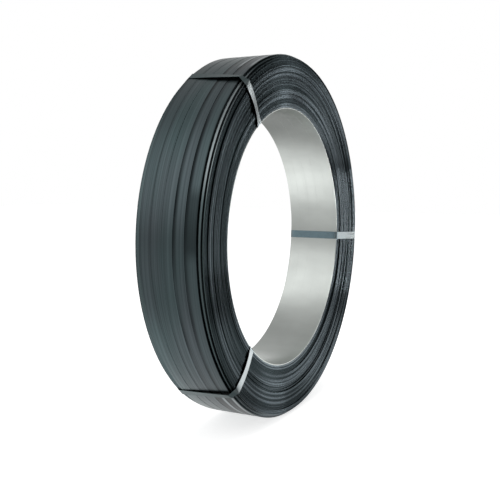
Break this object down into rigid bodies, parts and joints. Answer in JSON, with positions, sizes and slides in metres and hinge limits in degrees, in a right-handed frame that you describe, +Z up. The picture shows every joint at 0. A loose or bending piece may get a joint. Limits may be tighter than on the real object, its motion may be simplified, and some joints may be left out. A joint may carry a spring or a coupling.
{
  "type": "steel strapping coil",
  "caption": "Coil of dark blued steel strapping wound side by side in many layers, standing on its tread, with a bright open bore and flat steel ties drawn round its section.",
  "frame": {"origin": "on the floor, midway along the lowest line of the tread, below the middle of the bore", "axes": "+Y along the bore towards the far end, +X level across the coil, +Z up"},
  "size_m": [0.5715, 0.1106, 0.571],
  "materials": {
    "strip": "dark blued steel strip with a satin sheen, its bare face bright in the bore",
    "tie": "smooth glossy blue-grey steel band"
  },
  "bodies": {
    "root": {"wound_coil": "strip", "tie_right": "tie", "tie_upper": "tie", "tie_lower": "tie"}
  },
  "joints": []
}
